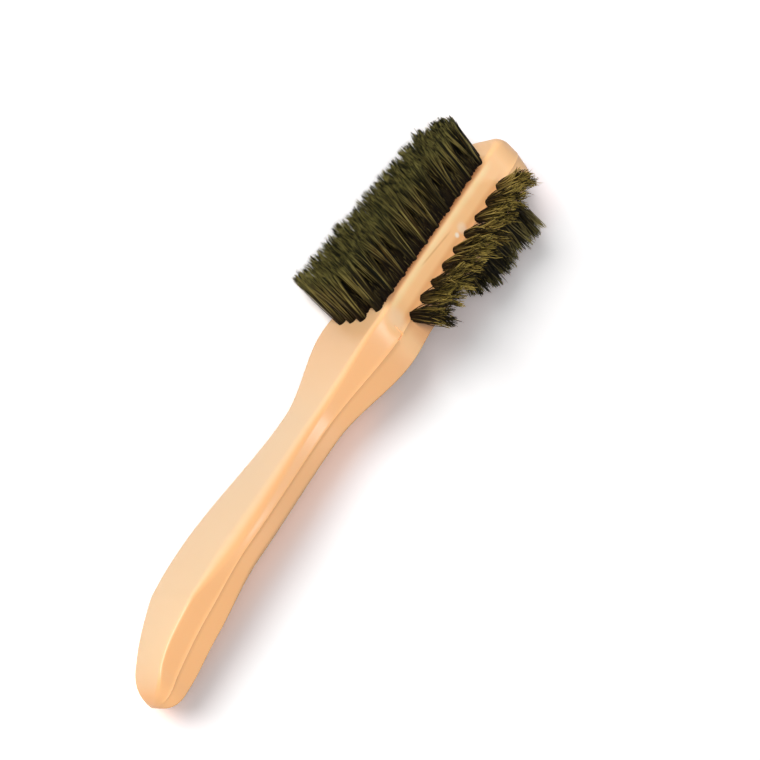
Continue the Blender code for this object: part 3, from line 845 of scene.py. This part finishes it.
def plasticMaterial():
    material, tree, shader = newMaterial("peachPlastic")
    place, (x, y, z) = objectPlace(tree)
    mottle = addNode(tree, "ShaderNodeTexNoise", {
        "Vector": place, "Scale": plastic["mottleScale"], "Detail": plastic["mottleDetail"]}).outputs[0]
    grain = addNode(tree, "ShaderNodeTexNoise", {
        "Vector": place, "Scale": plastic["grainScale"], "Detail": plastic["grainDetail"]}).outputs[0]
    onHead = addRange(tree, x, fromOrigin(0, plastic["headEnds"]))
    normal = addNode(tree, "ShaderNodeTexCoord").outputs["Normal"]
    facing = addNode(tree, "ShaderNodeSeparateXYZ", {0: normal}).outputs[1]
    # where the handle's faces turn to the front or back, which takes the painted sheen
    faceSheenMask = multiply(
        tree, addRange(tree, addMath(tree, "ABSOLUTE", facing), plastic["faceTurn"]),
        addRange(tree, x, fromOrigin(0, (handlePlace("neck"), plastic["faceEnd"])), 1.0, 0.0, smooth=False))

    tint = addMix(tree, mottle, plastic["colour"], plastic["warm"], "Color")
    # painted light: the head is painted paler
    tint = addMix(tree, onHead, tint, plastic["headPaintedLightColour"], "Color")
    # painted highlight and shade on the head's wall
    tint = paintWallLight(tree, x, y, tint)
    # painted sheen on the handle's front and back faces
    tint = addMix(tree, faceSheenMask, tint, plastic["faceSheenColour"], "Color")
    # painted shade of the fine groove
    tint = addMix(tree, grooveShadeLine(tree, x, y, z), tint, plastic["grooveShadeColour"], "Color")
    # painted highlights on the side
    for alongBrush, acrossBrush, radius, strength in plastic["paintedHighlights"]:
        centre = brushOrigin + Vector((alongBrush, acrossBrush, halfWidth(alongBrush)))
        away = addNode(tree, "ShaderNodeVectorMath", {0: place, 1: centre}, operation="DISTANCE")
        highlight = addRange(tree, away.outputs["Value"], (radius, radius * plastic["highlightCore"]), high=strength)
        tint = addMix(tree, highlight, tint, plastic["highlightColour"], "Color")
    bump = addNode(tree, "ShaderNodeBump", {
        "Height": grain, "Strength": plastic["grainStrength"], "Distance": plastic["grainDepth"]})
    for label, value in (
        ("Base Color", tint),
        ("Roughness", addRange(tree, mottle, (0.0, 1.0), *plastic["roughness"], smooth=False)),
        ("Normal", bump.outputs[0]),
        ("Specular IOR Level", plastic["specular"]),
        ("Coat Weight", addMix(tree, onHead, plastic["coat"], plastic["headCoat"])),
        ("Coat Roughness", plastic["coatRoughness"]),
        ("Subsurface Weight", plastic["milkiness"]),
        ("Subsurface Radius", plastic["milkReach"]),
        ("Subsurface Scale", plastic["milkDepth"]),
    ):
        feed(tree, value, shader.inputs[label])
    return material


# "rootTo" is how far up the dark root colour, a painted shade, fades out, and the flank value how dark a
# tuft's flanks are painted as shade
hairTones = {
    "front": {"root": (0.007, 0.003, 0.0015, 1), "dark": (0.005, 0.005, 0.002, 1),
              "mid": (0.054, 0.041, 0.010, 1), "brown": (0.090, 0.052, 0.013, 1),
              "light": (0.39, 0.31, 0.095, 1), "tip": (0.26, 0.25, 0.074, 1),
              "rootTo": 0.34, "flankShade": 0.85, "roughness": 0.6, "specular": 0.1},
    "side": {"root": (0.010, 0.005, 0.002, 1), "dark": (0.011, 0.008, 0.002, 1),
             "mid": (0.105, 0.075, 0.011, 1), "brown": (0.140, 0.078, 0.014, 1),
             "light": (0.58, 0.42, 0.115, 1), "tip": (0.56, 0.43, 0.10, 1),
             "rootTo": 0.66, "flankShade": 0.6, "roughness": 0.6, "specular": 0.15},
    "back": {"root": (0.006, 0.004, 0.002, 1), "dark": (0.007, 0.006, 0.003, 1),
             "mid": (0.046, 0.036, 0.012, 1), "brown": (0.060, 0.041, 0.014, 1),
             "light": (0.26, 0.21, 0.080, 1), "tip": (0.31, 0.28, 0.085, 1),
             "rootTo": 0.45, "flankShade": 0.5, "roughness": 0.6, "specular": 0.1},
}
hairMix = {
    "flank": (0.30, 0.75), "flankFade": (0.80, 0.35), "clumpShare": 0.48, "outside": 0.20,
    "mid": (0.42, 0.58), "light": (0.63, 0.76), "rootFrom": 0.04, "tip": (0.72, 1.0),
    "pale": (0.38, 0.66), "tipStrength": 0.6,
}
toneLabels = ("Root", "Dark", "Mid", "Brown", "Light", "Tip")
# the colour group's inputs and the hairs' attributes that fill them
hairReads = {
    "Place": "hairPlace", "Hair shade": "hairShade", "Clump shade": "clumpShade", "Tuft shade": "tuftShade",
    "Outside": "hairOutside", "Pale": "tuftPale", "Flank": "hairFlank",
}


def hairColourGroup():
    group = bpy.data.node_groups.new("bristleColour", "ShaderNodeTree")
    for label in toneLabels:
        group.interface.new_socket(label, in_out="INPUT", socket_type="NodeSocketColor")
    for label in ("Root end", "Flank shade", *hairReads):
        group.interface.new_socket(label, in_out="INPUT", socket_type="NodeSocketFloat")
    group.interface.new_socket("Colour", in_out="OUTPUT", socket_type="NodeSocketColor")
    entry = addNode(group, "NodeGroupInput").outputs

    def ramp(value, ends, top=1.0):
        return addRange(group, value, ends, high=top, smooth=False)

    def towards(factor, colour, other):
        return addMix(group, factor, colour, other, "Color")

    shade = addUp(group, multiply(group, entry["Hair shade"], 1 - hairMix["clumpShare"]),
                  multiply(group, entry["Clump shade"], hairMix["clumpShare"]))
    # painted light: outer hairs of a tuft are lighter and inner ones darker, as the inside of a tuft lies
    # in shade
    shade = addUp(group, shade, multiply(group, entry["Outside"], hairMix["outside"]), entry["Pale"])
    middle = towards(entry["Tuft shade"], entry["Mid"], entry["Brown"])
    colour = towards(ramp(shade, hairMix["mid"]), entry["Dark"], middle)
    colour = towards(ramp(shade, hairMix["light"]), colour, entry["Light"])
    # painted shade: the hairs darken towards their roots
    colour = towards(ramp(entry["Place"], (hairMix["rootFrom"], entry["Root end"])), entry["Root"], colour)
    # painted shade: the flanks of a tuft stay dark further up, so that the gaps between tufts show dark
    flank = multiply(group, ramp(entry["Flank"], hairMix["flank"], entry["Flank shade"]),
                     ramp(entry["Place"], hairMix["flankFade"]))
    colour = towards(flank, colour, entry["Root"])
    paleTip = multiply(group, ramp(entry["Place"], hairMix["tip"]),
                       ramp(shade, hairMix["pale"], hairMix["tipStrength"]))
    addNode(group, "NodeGroupOutput", {"Colour": towards(paleTip, colour, entry["Tip"])})
    return group


def hairMaterial(name, tones, group):
    material, tree, shader = newMaterial(name)
    values = {label: tones[label.lower()] for label in toneLabels}
    values.update({"Root end": tones["rootTo"], "Flank shade": tones["flankShade"]})
    for label, source in hairReads.items():
        values[label] = addNode(tree, "ShaderNodeAttribute", attribute_name=source).outputs["Fac"]
    effect = addNode(tree, "ShaderNodeGroup", node_tree=group)
    for label, value in values.items():
        feed(tree, value, effect.inputs[label])
    feed(tree, effect.outputs["Colour"], shader.inputs["Base Color"])
    feed(tree, tones["roughness"], shader.inputs["Roughness"])
    feed(tree, tones["specular"], shader.inputs["Specular IOR Level"])
    return material


# The studio

studio = {
    "lightPlace": (-0.373, 0.669, 0.643), "lightSize": 1.1, "lightPower": 78.0, "lightDistance": 3.0,
    "fillPlace": (-0.469, 0.405, 0.785), "fillSize": 0.8, "fillPower": 20.0,
    "cardPlace": (0.47, -0.26, 0.84), "cardDistance": 1.5, "cardSize": (0.20, 0.34), "cardPower": 7.0,
    "skyStrength": 0.22, "floorSize": 3.0, "floorColour": (0.38, 0.38, 0.38, 1),
    # the floor as the camera sees it, and the painted bounce light near the head and the handle
    "floorSeen": (1.26, 1.24, 1.24, 1), "floorHeadBounce": (1.32, 1.21, 1.205, 1),
    "floorHandleBounce": (1.95, 1.42, 1.24, 1),
    # where the floor's painted bounce light fades in, from the brush's own origin
    "belowBrush": (0.006, -0.010), "headTint": (-0.041, -0.028), "handleTint": (-0.031, -0.018),
    "handleEnd": (0.004, -0.024),
}


def floorBounceLight(tree):
    # painted bounce light: the shadow is painted pinker close to the head and peach where the handle throws
    # light into it
    x, y, _ = objectPlace(tree)[1]
    below = addRange(tree, y, fromOrigin(1, studio["belowBrush"]))
    byHead = multiply(tree, addRange(tree, y, fromOrigin(1, studio["headTint"])), below)
    byHandle = multiply(tree, addRange(tree, y, fromOrigin(1, studio["handleTint"])),
                        addRange(tree, x, fromOrigin(0, studio["handleEnd"])), below)
    tint = addMix(tree, byHead, studio["floorSeen"], studio["floorHeadBounce"], "Color")
    return addMix(tree, byHandle, tint, studio["floorHandleBounce"], "Color")


def seenApart(tree, kind, plain, seen):
    # the first look lights the brush, and the second is what the camera and reflections see
    path = addNode(tree, "ShaderNodeLightPath").outputs
    factor = addMath(tree, "MAXIMUM", path["Is Camera Ray"], path["Is Glossy Ray"])
    mixed = addNode(tree, "ShaderNodeMixShader", {
        0: factor, 1: addNode(tree, kind, plain).outputs[0], 2: addNode(tree, kind, seen).outputs[0]})
    return mixed.outputs[0]


def placeItem(item, place, away, across):
    turn = Matrix((across, away.cross(across), away)).transposed().to_4x4()
    item.matrix_world = Matrix.Translation(place) @ turn


def makeStudio():
    world = bpy.data.worlds.new("studioSky")
    bpy.context.scene.world = world
    world.use_nodes = True
    tree = world.node_tree
    tree.nodes.clear()
    white = (1, 1, 1, 1)
    addNode(tree, "ShaderNodeOutputWorld", {"Surface": seenApart(
        tree, "ShaderNodeBackground", {"Color": white, "Strength": studio["skyStrength"]},
        {"Color": white, "Strength": 1.0})})

    bpy.ops.mesh.primitive_plane_add(size=studio["floorSize"], location=(0, 0, 0))
    floor = bpy.context.object
    floor.name = "studioFloor"
    material = bpy.data.materials.new("paleFloor")
    material.use_nodes = True
    tree = material.node_tree
    tree.nodes.clear()
    addNode(tree, "ShaderNodeOutputMaterial", {"Surface": seenApart(
        tree, "ShaderNodeBsdfDiffuse", {"Color": studio["floorColour"]}, {"Color": floorBounceLight(tree)})})
    floor.data.materials.append(material)

    for name, part in (("softLamp", "light"), ("fillLamp", "fill")):
        lamp = bpy.data.lights.new(name, "AREA")
        lamp.shape = "DISK"
        lamp.size = studio[part + "Size"]
        lamp.energy = studio[part + "Power"]
        item = addItem(name, lamp)
        direction = Vector(studio[part + "Place"]).normalized()
        item.location = direction * studio["lightDistance"]
        item.rotation_euler = direction.to_track_quat("Z", "Y").to_euler()

    # an overhead card that only shows as gloss on the plastic
    card = bpy.data.lights.new("glossCard", "AREA")
    card.shape = "RECTANGLE"
    card.size, card.size_y = studio["cardSize"]
    card.energy = studio["cardPower"]
    item = addItem("glossCard", card)
    item.visible_diffuse = False
    toCard = Vector(studio["cardPlace"]).normalized()
    placeItem(item, toCard * studio["cardDistance"], toCard, Vector((0, 1, 0)).cross(toCard).normalized())


camera = {
    "fromBrush": (-0.39465, 0.31782, 0.63445), "forward": (0.4687, -0.4054, -0.7849),
    "up": (0.7218, 0.6880, 0.0757), "lens": 127.9, "sensor": 36.0, "nearest": 0.01,
}


def makeCamera():
    data = bpy.data.cameras.new("photoCamera")
    data.lens = camera["lens"]
    data.sensor_width = camera["sensor"]
    data.clip_start = camera["nearest"]
    item = addItem("photoCamera", data)
    forward = Vector(camera["forward"]).normalized()
    right = forward.cross(Vector(camera["up"])).normalized()
    placeItem(item, brushOrigin + Vector(camera["fromBrush"]), -forward, right)
    bpy.context.scene.camera = item


bpy.context.scene.view_settings.view_transform = "Standard"
makeCamera()
makeStudio()
print("studio and camera set")

peach = plasticMaterial()
rows = rowLayout()
shell = makeShell()
shell.data.materials.append(peach)
cutMouldMark(shell)
drillHoles(shell, rows, peach)
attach(shell, "root")
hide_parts("handle_body")
print("shell drilled:", len(shell.data.polygons), "faces")

colourGroup = hairColourGroup()
bristleTree = hairTree()
hairMaterials = {name: hairMaterial(name + "Bristle", hairTones[name], colourGroup) for name in hairTones}
for row in rows:
    piece = growHair(row, bristleTree, hairMaterials[row["group"]])
    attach(piece, "root")
    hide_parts(row["node"])
    print(piece.name, len(piece.data.polygons), "faces")
